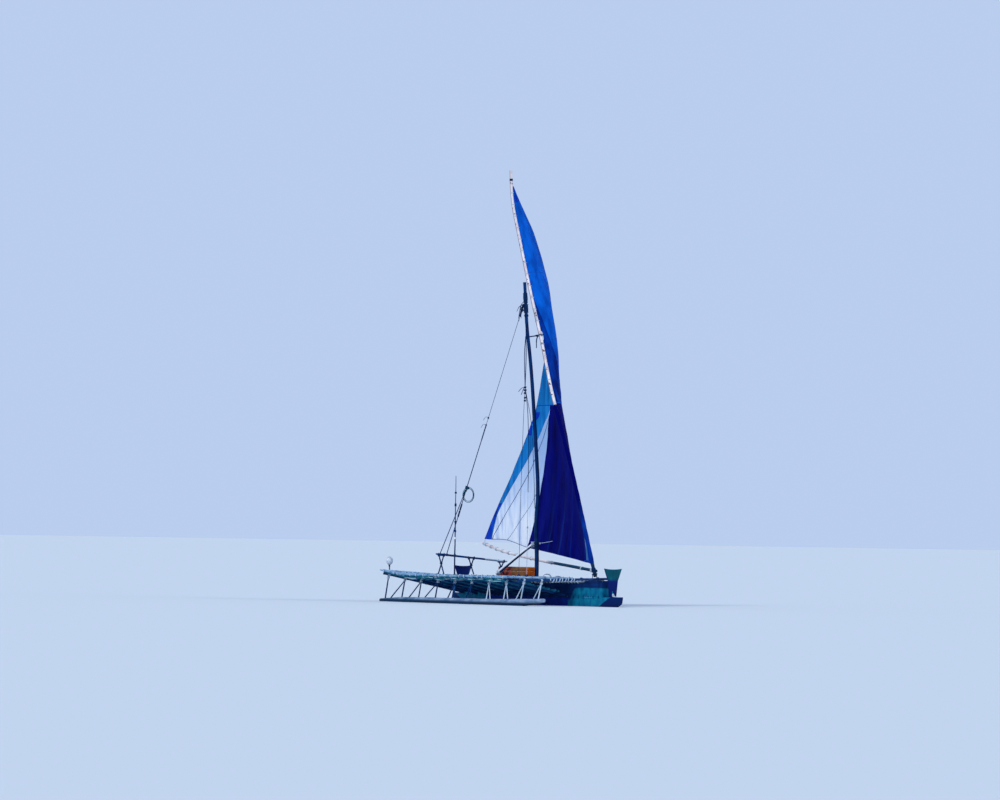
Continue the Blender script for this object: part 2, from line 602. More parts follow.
# Outboard edge of the platform: split sticks and leaf ribs tucked along it under the outer poles.
# Most lie fore and aft and are green and teal; some stick out and hang a hand's width down.
FRINGE_KINDS = (("green_leaf_rib", "1F8290", "083452", 90, 110, 0.17),
                ("bleached_leaf_rib", "B4CCD8", "6488A4", 20, 16, 0.1))
random.seed(21)
for fringe_name, pale, dark, hanging, lying, longest in FRINGE_KINDS:
    fringe_lines = []
    for k in range(hanging):
        x = random.uniform(-4.3, 2.6)
        root = Vector((x, random.uniform(-2.41, -2.37), DECK_TOP - 0.045 + lift(x)))
        reach_down = random.uniform(0.03, longest) * (1 if x > -2.4 else 0.45)
        tip = root + Vector((random.uniform(-0.26, 0.26), random.uniform(-0.012, 0.06), -reach_down))
        middle = root.lerp(tip, 0.5) + Vector((random.uniform(-0.02, 0.02), -0.008, 0.015))
        fringe_lines.append((smooth_line([root, middle, tip], 2), [0.008, 0.008, 0.007, 0.006, 0.004]))
    for k in range(lying):
        x = random.uniform(-4.3, 2.1)
        under = random.uniform(0.045, 0.13 if x > -3 else 0.08)
        long = random.uniform(0.25, 0.8)
        level = DECK_TOP - under + lift(x)
        far_level = level + lift(x + long) - lift(x) + random.uniform(-0.02, 0.02)
        out = random.uniform(-2.415, -2.385)
        rib = smooth_line([(x, out + 0.01, level), (x + long / 2, out, (level + far_level) / 2 - 0.01),
                           (x + long, out + 0.01, far_level)], 2)
        fringe_lines.append((rib, [0.006, 0.009, 0.01, 0.009, 0.006]))
    leaf_rib = weathered_wood(fringe_name, pale, dark, "X", 0.85)
    tubes("edge_" + fringe_name, fringe_lines, leaf_rib, "pole_teal")


# Lashings: turns of twine round every place where two poles cross.
# They are pale where new and dark where tarred, and each has three to five turns.
def binding(middle, way, radius, turns=4, rope=0.012, flat=1.0):
    """Points and radius of a rope wound round a pole at a place."""
    way = Vector(way).normalized()
    first = upward.cross(way)
    first = first.normalized() if first.length > 0.1 else way.orthogonal().normalized()
    second = way.cross(first)
    steps = turns * 10
    points = []
    for k in range(steps + 1):
        angle = 2 * math.pi * k / 10
        shift = (k / steps - 0.5) * turns * rope * 1.05
        points.append(Vector(middle) + way * shift
                      + (first * math.cos(angle) * flat + second * math.sin(angle)) * radius)
    return points, rope / 2


pale_ties, dark_ties = [], []
for k in range(BOOMS):
    inboard, near, outboard = (Vector(p) for p in boom_spots(k)[1:])
    pale_ties += [binding(strut_heads[k], (0, 0.15, 1), 0.034, 5, 0.011),
                  binding(near.lerp(outboard, 0.4), outboard - near, 0.043, 5)]
    dark_ties.append(binding(inboard + Vector((0, -0.06, 0.004)), (0, 1, -0.1), 0.04, 4, 0.011))
    for i in (0, 3, 7) if k < LOW_BOOMS else ():
        middle = at_y(boom_curves[k], lattice_y(i)) + above / 2
        dark_ties.append(binding(middle, (1, 0.25, 0), 0.068, 3, 0.01, 0.55))
for k, x in enumerate(BEARERS):
    for i in range(11):
        y = DECK_OUTER + 0.06 + i * 0.19
        ties = pale_ties if (i + k) % 3 == 0 else dark_ties
        ties.append(binding((x, y, DECK_TOP - 0.042 + deck_lift(x, y)), (0.6, 1, 0), 0.05, 3, 0.01, 0.8))
for k in range(15):
    x = -4.2 + k * 0.46 + 0.15 * math.sin(k * 2.4)
    pale_ties.append(binding((x, -2.385, DECK_TOP - 0.03 + lift(x)), (1, 0.2, 0.1), 0.037, 3, 0.01))
tubes("pole_lashings_pale", pale_ties, rope_pale, "rope_pale")
tubes("pole_lashings_dark", dark_ties, rope_dark, "rope_dark")

# Rail lashing: a pale rope that goes round the windward rail, from the platform to the bow.
# Its spare turns lie beside the mast, in two hanks on the rail and round the boom nearest the bow.
ZIG_FROM, ZIG_TO, ZIG_TURNS, ZIG_OUT, RAIL_ROPE = 0.15, 2.7, 16, 0.036, 0.0095
zigzag, wound = [], []
for k in range(ZIG_TURNS * 8 + 1):
    angle = 2 * math.pi * k / 8
    x, y, z = rail_middle(ZIG_FROM + (ZIG_TO - ZIG_FROM) * k / 8 / ZIG_TURNS)
    zigzag.append((x, y + ZIG_OUT * math.cos(angle), z + ZIG_OUT * math.sin(angle)))
rail_lines = [(zigzag, RAIL_ROPE)]
rail_lines += [binding(rail_middle(x), (1, 0, 0), 0.047, 4, 0.014) for x in (0.42, 0.5, 0.62)]
for x, z, tall in ((1.04, 0.765, 0.072), (1.62, 0.73, 0.056)):
    hank = []
    for k in range(61):
        angle = 2 * math.pi * k / 15
        wide, side = 0.105 * math.cos(angle), 0.02 * (k / 30 - 1)
        hank.append((x + wide * 0.5 + side, -0.272 + wide * 0.866, z + tall * math.sin(angle) + side * 0.4))
    rail_lines.append((hank, 0.011))
for k in range(9 * 14 + 1):
    angle = 2 * math.pi * k / 14 + 0.9 * math.sin(k * 0.23)
    spot = at_y(boom_curves[-1], -1.95 + 0.95 * k / 126)
    wound.append(spot + Vector((0.043 * math.cos(angle), 0, 0.043 * math.sin(angle))))
tubes("rail_lashing", [*rail_lines, (wound, RAIL_ROPE)], rope_pale, "rope_pale")

# Bench: a rack of poles athwart the platform on crossed legs, where gear is kept dry.
# Its outer poles are old and dark, and the inner end of one is peeled pale.
BENCH_OUT, BENCH_IN, BENCH_OUT_Z, BENCH_IN_Z = -2.32, -0.26, 1.325, 1.15
BENCH_LEGS, BENCH_MIDDLE = (-2.23, -1.3, -0.36), -1.295
PEELED_X, PEELED_FROM = -1.16, -0.96
bench_lines, bench_ties = [], []


def bench_top(y):
    return BENCH_OUT_Z + (BENCH_IN_Z - BENCH_OUT_Z) * (y - BENCH_OUT) / (BENCH_IN - BENCH_OUT)


def bench_pole(x, start, end, *growth):
    """A pole that lies on the bench between two distances off the centreline."""
    return natural_pole([(x, start, bench_top(start)), (x, end, bench_top(end))], *growth)


for k, x in enumerate((-1.43, -1.34, -1.25)):
    bench_lines.append(bench_pole(x, BENCH_OUT, BENCH_IN, 0.043, 0.04, 0.006, k, 8))
bench_lines.append(bench_pole(PEELED_X, BENCH_OUT, PEELED_FROM, 0.043, 0.041, 0.006, 3, 8))
peeled_end = natural_pole([(PEELED_X, PEELED_FROM + 0.001, bench_top(PEELED_FROM)),
                           (PEELED_X, BENCH_IN, BENCH_IN_Z)], 0.041, 0.037, 0.004, 4, 6)
tubes("bench_peeled_end", [peeled_end], pale_stick, "pole_teal", fineness=2)
for y in BENCH_LEGS:
    for s in (-1, 1):
        foot = Vector((BENCH_MIDDLE + s * 0.15, y, DECK_TOP + 0.022))
        head = Vector((BENCH_MIDDLE - s * 0.165, y, bench_top(y) + 0.03))
        bench_lines.append(natural_pole([foot, head], 0.037, 0.034, 0.004, s, 5))
        bench_ties.append(binding(foot.lerp(head, 0.9), (0, 1, 0), 0.034, 4, 0.011))
    cross = (BENCH_MIDDLE, y, (DECK_TOP + bench_top(y)) / 2 + 0.03)
    bench_ties.append(binding(cross, (0, 0, 1), 0.034, 4, 0.011))
for y in BENCH_LEGS[::2]:
    z = bench_top(y) - 0.03
    bench_lines.append(natural_pole([(-1.48, y, z), (-1.11, y, z)], 0.033, 0.033, 0.002, y, 4))
tubes("bench_poles", bench_lines, dark_pole, "pole_teal", fineness=2, stands_for="bench_rack")
tubes("bench_lashings", bench_ties, rope_dark, "rope_dark")


# Plank box: odd lengths of thin board nailed on corner battens, open at the top.
# The boards are worn red, brown and orange, with a bleached capping strip.
def board(low, high, bevel=0.003):
    """A sawn board between two corners, with its edges eased."""
    low, high = Vector(low), Vector(high)
    bpy.ops.object.select_all(action="DESELECT")
    bpy.ops.mesh.primitive_cube_add(size=1, location=(low + high) / 2)
    piece = bpy.context.object
    piece.scale = high - low
    bpy.ops.object.transform_apply(location=True, rotation=True, scale=True)
    edit_all()
    bpy.ops.mesh.bevel(offset=bevel, segments=2, affect="EDGES")
    bpy.ops.object.mode_set(mode="OBJECT")
    return piece


BOX_LOW, BOX_HIGH = Vector((-1.58, -0.285, 0.7705)), Vector((0.06, -0.085, 1.015))
BOX_WALL, BOX_SPLIT, BOX_RIM, BATTEN = 0.018, 0.89, 0.012, 0.025
BOX_IN = BOX_WALL + 0.001
levels = ((BOX_LOW.z, BOX_SPLIT - 0.002), (BOX_SPLIT + 0.002, BOX_HIGH.z - BOX_RIM))
inner_y = (BOX_LOW.y + BOX_IN, BOX_HIGH.y - BOX_IN)
box_boards = {"red": [], "brown": [], "orange": [], "pale": []}
for y in (BOX_LOW.y, BOX_HIGH.y - BOX_WALL):
    for low_x, high_x, colour_name in ((BOX_LOW.x, -0.9, "red"), (-0.897, -0.12, "brown"),
                                       (-0.117, BOX_HIGH.x, "orange")):
        for low_z, high_z in levels:
            box_boards[colour_name].append(board((low_x, y, low_z), (high_x, y + BOX_WALL, high_z)))
    box_boards["pale"].append(board((BOX_LOW.x, y, BOX_HIGH.z - BOX_RIM + 0.001),
                                    (BOX_HIGH.x, y + BOX_WALL, BOX_HIGH.z)))
for x, colour_name in ((BOX_LOW.x, "red"), (BOX_HIGH.x - BOX_WALL, "orange")):
    for low_z, high_z in levels:
        box_boards[colour_name].append(board((x, inner_y[0], low_z), (x + BOX_WALL, inner_y[1], high_z)))
for x in (BOX_LOW.x + BOX_IN, -0.915, -0.135, BOX_HIGH.x - BOX_IN - BATTEN):
    for y in (inner_y[0], inner_y[1] - BATTEN):
        box_boards["brown"].append(board((x, y, BOX_LOW.z + BOX_IN),
                                         (x + BATTEN, y + BATTEN, BOX_HIGH.z - 0.03), 0.002))
box_boards["brown"].append(board((BOX_LOW.x + BOX_IN, inner_y[0], BOX_LOW.z),
                                 (BOX_HIGH.x - BOX_IN, inner_y[1], BOX_LOW.z + BOX_WALL)))
brown_board = weathered_wood("bare_brown_board", "A06A3E", "63402C", wear="C79C70")
box_colours = {
    "red": weathered_wood("worn_red_board", "B4503E", "7A2E30", "X", 0.75, wear="D39A86"),
    "brown": brown_board,
    "orange": weathered_wood("orange_painted_board", "CC6218", "94400E", "X", 0.65, wear="E09A5C"),
    "pale": weathered_wood("bleached_capping_strip", "D8BDB6", "A08078", "X", 0.85),
}
for colour_name, boards in box_boards.items():
    make_active(boards[0])
    for one in boards:
        one.select_set(True)
    bpy.ops.object.join()
    boards[0].name = boards[0].data.name = "plank_box_" + colour_name
    leave_smooth(35)
    dress(boards[0], box_colours[colour_name], "plank_orange",
          stands_for="plank_box" if colour_name == "red" else None)


# Ball post and net ball: a hollow plastic ball in a coarse net, tied on a short stick.
# It marks the platform's corner, and its foot is bound with dark twine.
def soiled(name, roughness, specular, scale, detail, stops):
    """A plain material with faint dirt on it."""
    material, tree, surface, place = start_material(name, roughness, specular)
    dirt = add_node(tree, "TexNoise", {"Vector": place["Object"], "Scale": scale, "Detail": detail})
    feed(surface, {"Base Color": ramp(tree, dirt, stops)})
    return material


BALL, BALL_R, BALL_TALL = Vector((-4.08, -2.296, 1.115)), 0.093, 0.115
NET_LINES, NET_STEPS = 7, 24
bpy.ops.object.select_all(action="DESELECT")
bpy.ops.mesh.primitive_uv_sphere_add(segments=40, ring_count=24, radius=BALL_R - 0.003, location=BALL)
ball = bpy.context.object
ball.name = "ball_shell"
ball.scale = (1, 1, BALL_TALL / BALL_R)
bpy.ops.object.transform_apply(location=True, rotation=True, scale=True)
for vertex in ball.data.vertices:
    vertex.co += (BALL - vertex.co) * 0.02 * (1 + noise.noise(vertex.co * 30))
bpy.ops.object.shade_smooth()
# Soft white plastic, dulled by the sun, with grey dirt in its pores.
ball_white = soiled("matt_white_plastic", 0.45, 0.5, 14.0, 5.0, [(0.35, "B0BAC0"), (0.55, "F0F4F6")])
dress(ball, ball_white, "ball_white", stands_for="net_ball")
net_lines = []
for k in range(NET_LINES):
    for twist in (-1, 1):
        line = []
        for step in range(NET_STEPS + 1):
            rise = (step / NET_STEPS - 0.5) * math.pi * 0.94
            angle = 2 * math.pi * k / NET_LINES + twist * step / NET_STEPS * math.pi
            across = BALL_R * math.cos(rise)
            spot = (across * math.cos(angle), across * math.sin(angle), BALL_TALL * math.sin(rise))
            line.append(BALL + Vector(spot) * 0.985)
        net_lines.append((line, 0.0022))
tubes("ball_net", net_lines, rope_pale, "rope_dark")
ball_foot = BALL - Vector((0, 0, BALL_TALL + 0.012))
tubes("ball_seizing", [binding(ball_foot, (0, 0, 1), 0.022, 6, 0.01)], rope_dark, "rope_dark")
post_line = natural_pole([(-4.08, -2.29, 0.866), (-4.08, -2.296, 0.998)], 0.034, 0.03, 0.001)
tubes("ball_post_stick", [post_line], dark_stick, "pole_teal", fineness=2, stands_for="ball_post")

# Staff: a thin upright pole tied to the bench, with a rag of white tape near its middle.
# Another stick is tied along it to stiffen it, and it is bound with twine in five places.
staff_points = [(-1.56, -1.665, DECK_TOP + 0.001), (-1.565, -1.66, 1.4), (-1.572, -1.657, 2.0),
                (-1.582, -1.653, 2.8), (-1.59, -1.65, 3.45)]
tubes("staff_pole", [natural_pole(staff_points, 0.043, 0.015, 0.006, 3, 6)], dark_stick, "pole_teal",
      fineness=2, stands_for="staff")
splint_lines = [natural_pole([(-1.53, -1.68, 1.86), (-1.545, -1.672, 2.6)], 0.034, 0.022, 0.003, 6, 8)]
splint_lines += [binding((-1.575, -1.657, z), (0, 0, 1), 0.026, turns, 0.01)
                 for z, turns in ((1.3, 5), (1.95, 5), (2.2, 4), (2.66, 7), (2.99, 4))]
tubes("staff_splint", splint_lines, dark_stick, "pole_teal")
tape_turns = ([(-1.565, -1.66, 1.73), (-1.567, -1.659, 1.76), (-1.569, -1.658, 1.79)], [0.026, 0.029, 0.025])
tape_end = (smooth_line([(-1.56, -1.685, 1.75), (-1.54, -1.7, 1.7), (-1.55, -1.69, 1.63)], 4), 0.006)
# Cotton tape: matt and almost white, with dust in its weave.
white_tape = soiled("white_cloth_tape", 0.7, 0.3, 60.0, 4.0, [(0.35, "C9D4D8"), (0.6, "FFFFFF")])
tubes("staff_tape", [tape_turns, tape_end], white_tape, "rope_pale", fineness=2)

# Mast: a natural trunk, a little crooked, painted dark teal, that stands on a step over the hull.
# A big bundle of rope at its head carries the halyard and the stay.
MAST_BEND = [(0, 0, 0.735), (0, 0, 1.32), (0, -0.036, 2.25), (0, 0, 3.19), (0, -0.13, 4.84),
             (0, -0.262, 6.3), (0, -0.421, 7.54), (0, -0.513, 8.7)]
MAST_ENDS, MAST_WAY = (0.119, 0.085), Vector((0, -0.1, 1))
mast_teal = weathered_wood("teal_painted_trunk", "083870", "03204C", "Z", 0.7, wear="1C5C88")
trunk = natural_pole([(x, y, z + 0.001) for x, y, z in MAST_BEND], *MAST_ENDS, 0.003, 1, 8)
tubes("mast_trunk", [trunk], mast_teal, "mast_teal", fineness=3, stands_for="mast")
rework("mast_step_plank", "mast_step", brown_board, "plank_orange", bevel=0.006)


def on_line(line, z):
    """The point of a rising line of points at a height."""
    for low, high in zip(line, line[1:]):
        if low.z <= z <= high.z:
            return low.lerp(high, (z - low.z) / (high.z - low.z))
    return line[-1 if z > line[-1].z else 0].copy()


def spar_radius(line, ends, z):
    """The radius of a tapered spar at a height."""
    return (ends[0] + (ends[1] - ends[0]) * (z - line[0].z) / (line[-1].z - line[0].z)) / 2


mast_line = smooth_line(MAST_BEND, 8)


def mast_turns(z, clear, turns, rope):
    """Turns of rope round the mast at a height."""
    radius = spar_radius(mast_line, MAST_ENDS, z) + clear
    return binding(on_line(mast_line, z), MAST_WAY, radius, turns, rope)


# Masthead bundle: the halyard's and the stay's turns of dark rope, which lie on each other.
# Their loose ends hang down beside the mast.
MAST_ROPES = ((8.36, 5, 0.018), (8.27, 4, 0.022), (8.19, 6, 0.016), (8.01, 5, 0.022), (7.92, 4, 0.02),
              (7.8, 3, 0.016))
bundle_lines = [mast_turns(z, rope * 0.62, turns, rope) for z, turns, rope in MAST_ROPES]
random.seed(3)
for k in range(7):
    top = on_line(mast_line, random.uniform(7.86, 8.24)) + Vector((0, -0.055, 0))
    drop = random.uniform(0.18, 0.42)
    tip = top + Vector((random.uniform(-0.12, 0.03), -random.uniform(0.06, 0.17), -drop))
    middle = top.lerp(tip, 0.45) + Vector((-0.02, -0.03, 0.03))
    bundle_lines.append((smooth_line([top, middle, tip], 4), [0.009] * 6 + [0.007] * 3))
tubes("masthead_rope_bundle", bundle_lines, rope_dark, "rope_dark")

# Halyard falls: two dark lines from the masthead to a knot, and then three down past the mast.
# Two are made fast round the bearer and the rail, and the third is hitched to the mast itself.
FALL_KNOT, FALL_FEET = Vector((0, -0.448, 5.86)), ((-0.05, -0.52), (0.045, -0.33))
MAST_HITCH, SPLICE_TOP, SPLICE_FOOT = 2.62, (0.05, -0.335, 3.06), (0.05, -0.335, 2.08)
fall_lines = []
for shift, top_z in ((-0.03, 7.25), (0.035, 7.6)):
    top = on_line(mast_line, top_z) + Vector((shift, -0.05, 0))
    fall_lines.append((smooth_line([top, (shift * 1.4, -0.46, 6.7), FALL_KNOT], 6), 0.0115))
for rope, *way_down in ((0.009, (0.02, -0.36, 5.15), (0.05, -0.335, 3.9), SPLICE_TOP),
                        (0.0055, (-0.03, -0.465, 5.0), (-0.05, -0.5, 2.9), (-0.05, -0.52, 0.79)),
                        (0.007, (0.04, -0.27, 4.95), (0.03, -0.17, 3.9), (0.0, -0.085, MAST_HITCH))):
    fall_lines.append((smooth_line([FALL_KNOT, *way_down], 6), rope))
fall_lines.append(mast_turns(MAST_HITCH, 0.007, 3, 0.013))
fall_lines += [binding((x, y, 0.78), (1, 0, 0), 0.03, 3) for x, y in FALL_FEET]
for drop, radius in ((0.0, 0.03), (0.0765, 0.036), (0.153, 0.028), (0.2805, 0.022), (0.357, 0.025)):
    fall_lines.append(binding(FALL_KNOT - upward * drop, (0.2, 0.1, 1), radius, 3, 0.016))
for reach_out, drop in ((-0.16, 0.12), (-0.09, 0.2)):
    tip = FALL_KNOT + Vector((reach_out * 0.5, reach_out, -drop))
    fall_lines.append((smooth_line([FALL_KNOT, FALL_KNOT.lerp(tip, 0.5) + upward * 0.04, tip], 4), 0.009))
tubes("halyard_falls", fall_lines, rope_dark, "rope_dark")
pale_lines = [(smooth_line([SPLICE_TOP, SPLICE_FOOT, (0.045, -0.33, 0.79)], 8), 0.0065),
              binding(SPLICE_TOP, (0, 0, 1), 0.016, 4, 0.01),
              binding(SPLICE_FOOT, (0, 0, 1), 0.019, 4, 0.011)]

# Mast prop: a pole that leans on the windward side of the mast, with its bark on below and pale on top.
# It is lashed with white rope, and a short peg is driven through the lashing to tighten it.
PROP_FOOT, PROP_HEAD = Vector((-1.29, -0.5, 0.814)), Vector((-0.058, -0.098, 1.62))
prop_wood = weathered_wood("half_barked_prop", "1A4A72", "0A2448", "X", 0.85, wear="B4C8D4",
                           over=[("Normal", "Z", -0.4, -0.15, "EEF1F5")])
prop_line = natural_pole([PROP_FOOT, PROP_FOOT.lerp(PROP_HEAD, 0.5) + upward * 0.012, PROP_HEAD],
                         0.102, 0.08, 0.004, 2, 7)
tubes("mast_prop_pole", [prop_line], prop_wood, "pole_grey", fineness=3, stands_for="mast_prop")
pale_lines += [
    binding(PROP_HEAD + Vector((0.002, 0.002, 0.0)), (0, 0, 1), 0.044, 9, 0.016),
    binding((0.042, 0.062, 1.655), (0, 0, 1), 0.022, 3, 0.014),
    (smooth_line([(0.05, 0.07, 1.66), (0.13, 0.21, 1.685), (0.21, 0.36, 1.72)], 4), 0.0085),
    binding(PROP_FOOT.lerp(PROP_HEAD, 0.06), PROP_HEAD - PROP_FOOT, 0.056, 5, 0.013),
]
tubes("prop_and_halyard_lashings", pale_lines, rope_pale, "rope_pale")
prop_turns = [mast_turns(z, 0.008, 4, 0.014) for z in (1.56, 1.66)]
prop_turns.append(binding(on_line(mast_line, 1.6) + Vector((-0.02, -0.035, 0)), (0, -0.2, 1),
                          spar_radius(mast_line, MAST_ENDS, 1.6) + 0.05, 2))
tubes("prop_turns_dark", prop_turns, rope_dark, "rope_dark")

# Yard: a long peeled pole, pale with brown knots, bent by the sail. It stands on its heel at the tack.
# The peak's cloth is laced to it, and its thin tip is bound with twine.
YARD_BEND = [(3.126, 0, 0.8), (1.86, -0.05, 3.68), (0.8, -0.06, 5.68), (0.12, -0.035, 7.15),
             (-0.44, -0.045, 8.35), (-1.22, -0.015, 10.0), (-1.54, -0.055, 10.98), (-1.62, -0.07, 11.8)]
YARD_ENDS = (0.094, 0.075)
AFTER_SIDE = (-0.5, -0.866, 0)


def knots_and_bark(tree, surface, wood, place):
    """Brown knots, a strip of bark that was left on the after side, and a heel dark from spray."""
    spots = add_node(tree, "TexNoise", {"Vector": place["Object"], "Scale": 9.0, "Detail": 2.0})
    knots = add_node(tree, "MapRange", {"Value": spots, "From Min": 0.62, "From Max": 0.67})
    knotty = mix_colours(tree, knots, wood, "5E3A38", surface)
    after = add_node(tree, "VectorMath", {0: place["Normal"], 1: AFTER_SIDE}, operation="DOT_PRODUCT")
    strip = add_node(tree, "MapRange", {"Value": after.outputs["Value"], "From Min": 0.62, "From Max": 0.85})
    barked = mix_colours(tree, strip, knotty, "7A6A78", surface)
    mix_colours(tree, fade(tree, place["Object"], "Z", 1.28, 1.2), barked, "0C2C4C", surface)


peeled = weathered_wood("peeled_spar", "F6F0EE", "C8B6B8", "Z", 0.75, finish=knots_and_bark)
tubes("yard_spar", [natural_pole(YARD_BEND, *YARD_ENDS, 0.003, 4, 8)], peeled, "yard_peeled", fineness=2,
      body="rig", stands_for="yard")
yard_line = smooth_line(YARD_BEND, 8)


def yard_radius(z):
    return spar_radius(yard_line, YARD_ENDS, z)


# Boom of the sail: a lighter spar that curves up to the clew, bare at that end and dark near the tack.
# White rope ends are tied round it, and its heel is lashed to the yard.
BOOM_BEND = [(3.0, 0.102, 0.945), (1.0, 0.395, 1.07), (-0.85, 0.65, 1.185), (-2.79, 0.9, 1.34),
             (-4.0, 1.03, 1.48), (-4.96, 1.13, 1.645)]
boom_wood = weathered_wood("half_peeled_spar", "F6F0F0", "C0B0AE", "X", 0.75, wear="F6F2F0",
                           over=[("Object", "X", -0.5, 0.15, "123F5C")])
tubes("sail_boom_spar", [natural_pole(BOOM_BEND, 0.086, 0.07, 0.003, 5, 7)], boom_wood, "yard_peeled",
      fineness=2, body="rig", stands_for="sail_boom")
boom_points = smooth_line(BOOM_BEND, 8)
boom_ties = [binding(boom_points[k], boom_points[k + 1] - boom_points[k], 0.047, turns, rope)
             for k, turns, rope in ((4, 4, 0.014), (13, 4, 0.014), (19, 3, 0.013), (23, 5, 0.015),
                                    (26, 3, 0.013), (29, 4, 0.015), (32, 5, 0.014), (35, 3, 0.014),
                                    (38, 6, 0.015))]

# Sail: a crab claw of thin woven plastic sheeting in four parts, bellied to leeward.
# The parts are sewn together from odd colours, and a rope runs in the hem of the leech and the foot.
SAIL_ROWS = [
    # height on the yard, leech x, y, z, depth of the belly
    (1.13, -4.8, 1.1, 1.76, 0.09),
    (1.9, -3.95, 0.92, 2.45, 0.24),
    (2.8, -3.1, 0.85, 3.3, 0.32),
    (3.7, -2.4, 0.815, 4.1, 0.36),
    (4.6, -1.85, 0.805, 4.85, 0.36),
    (5.45, -1.48, 0.78, 5.4, 0.36),
    (6.3, -1.15, 0.78, 6.45, 0.36),
    (7.15, -0.95, 0.795, 7.3, 0.34),
    (8.2, -0.95, 0.85, 8.3, 0.25),
    (9.2, -1.3, 0.825, 9.2, 0.16),
    (10.1, -1.6, 0.65, 10.15, 0.1),
    (10.8, -1.68, 0.31, 10.85, 0.05),
    (11.35, -1.64, 0.025, 11.38, 0.005),
]
PEAK_ROW, LAST_ROW = 5, 12
FOOT_ARCH, FOOT_HOLLOW, HOLLOW_FROM = 0.02, 0.085, 0.6
FROM_YARD, NOTCH_ROW, NOTCH = 0.056, 7.11, 0.027
SHEET_THICK, PATCH_THICK, SEAM_GAP = 0.003, 0.009, 0.007


def row_values(r):
    """The table's values at a row number, on a smooth line through the rows."""
    low = min(int(r), LAST_ROW - 1)
    nearby = [SAIL_ROWS[min(max(k, 0), LAST_ROW)] for k in range(low - 1, low + 3)]
    return [between(*four, r - low) for four in zip(*nearby)]


def sail_point(r, t):
    """The point of the sail on row r, at t from 0 on the yard to 1 on the leech."""
    z, *leech_spot, belly = row_values(r)
    luff = on_line(yard_line, z)
    chord = Vector(leech_spot) - luff
    out = Vector((chord.y, -chord.x, 0)).normalized()
    clear = FROM_YARD / chord.length
    bulge = belly * math.sin(math.pi * max(0, (t - clear) / (1 - clear)) ** 0.7)
    hollow = math.sin(math.pi * max(0, t - HOLLOW_FROM) / (1 - HOLLOW_FROM)) ** 2
    rise = max(0, 1 - r) * (FOOT_ARCH * math.sin(math.pi * t) + FOOT_HOLLOW * hollow)
    return luff + chord * t + out * bulge + Vector((0, 0, rise))


def row_length(r):
    return (sail_point(r, 0) - sail_point(r, 1)).length


def yard_gap(r):
    """Where the cloth starts: close to the yard, but clear of the rope that rings it."""
    notch = NOTCH * min(1, max(0, 2 - 11 * abs(r - NOTCH_ROW)))
    near = FROM_YARD if r < PEAK_ROW else yard_radius(row_values(r)[0]) + 0.011
    return (near + notch) / row_length(r)


def luff_edge(r):
    """Where the dark luff panel ends."""
    return 0.62 + 0.09 * min(1, r / 4.3) ** 1.5


def leech_edge(r):
    """Where the leech panel starts."""
    narrow = 0.975 - 0.04 * max(0, 1 - r) - 0.263 * max(0, (r - 1) / 3.8) ** 1.6
    return max(narrow, luff_edge(r))


def past_seam(seam):
    """Where the next panel starts, a narrow gap past a seam."""
    return lambda r: seam(r) + SEAM_GAP / row_length(r)


def off_yard(more):
    """An edge a little past where the cloth starts at the yard."""
    return lambda r: yard_gap(r) + more


def straight(at_foot, each_row=0.0, low=0.0, high=1.0):
    """A straight edge across the rows, kept between two limits."""
    return lambda r: min(high, max(low, at_foot + each_row * r))


def crease(r, t):
    """How far the cloth is pushed to leeward: soft waves, and long folds that fan out above the foot."""
    wave = noise.noise((r * 1.6, t * 9, 3.0)) + 0.4 * noise.noise((r * 5, t * 24, 1.0))
    fan = math.sin(26 * t + 1.5 * math.sin(r * 1.3)) * 0.6 + math.sin(61 * t + r) * 0.25
    low = max(0, 1 - r / 5) * min(1, max(0, 0.72 - t) * 9)
    return (0.014 * wave + 0.024 * fan * low) * min(1, t * 10)


def cloth_point(r, t):
    """A point of the creased cloth."""
    up_way = sail_point(min(r + 0.05, LAST_ROW), t) - sail_point(max(r - 0.05, 0), t)
    back_way = sail_point(r, min(t + 0.02, 1)) - sail_point(r, max(t - 0.02, 0))
    return sail_point(r, t) + up_way.cross(back_way).normalized() * crease(r, t)


def longest(lines):
    return max(sum((b.co - a.co).length for a, b in zip(line, line[1:])) for line in lines)


def cut_panel(name, material, slot, rows, columns, first, last, start, end, thick, stands_for=None):
    """A panel between two rows and two edges that depend on the row, with its flat size and its area."""
    panel = bmesh.new()
    grid = []
    uv_layer = panel.loops.layers.uv.new("cut")
    for i in range(rows + 1):
        r = first + (last - first) * i / rows
        left, width = start(r), end(r) - start(r)
        grid.append([panel.verts.new(cloth_point(r, left + width * j / columns)) for j in range(columns + 1)])
    for i in range(rows):
        for j in range(columns):
            corners = ((i, j), (i, j + 1), (i + 1, j + 1), (i + 1, j))
            face = panel.faces.new([grid[a][b] for a, b in corners])
            for loop, (a, b) in zip(face.loops, corners):
                loop[uv_layer].uv = (b / columns, a / rows)
    mesh = bpy.data.meshes.new(name)
    panel.to_mesh(mesh)
    area = sum(face.calc_area() for face in panel.faces)
    flat_size = longest(grid), longest(zip(*grid))
    panel.free()
    piece = bpy.data.objects.new(name, mesh)
    bpy.context.collection.objects.link(piece)
    make_active(piece)
    cloth = piece.modifiers.new("cloth", "SOLIDIFY")
    cloth.thickness = thick
    cloth.offset = 0
    bpy.ops.object.modifier_apply(modifier=cloth.name)
    leave_smooth(60)
    return dress(piece, material, slot, "rig", stands_for), flat_size, area


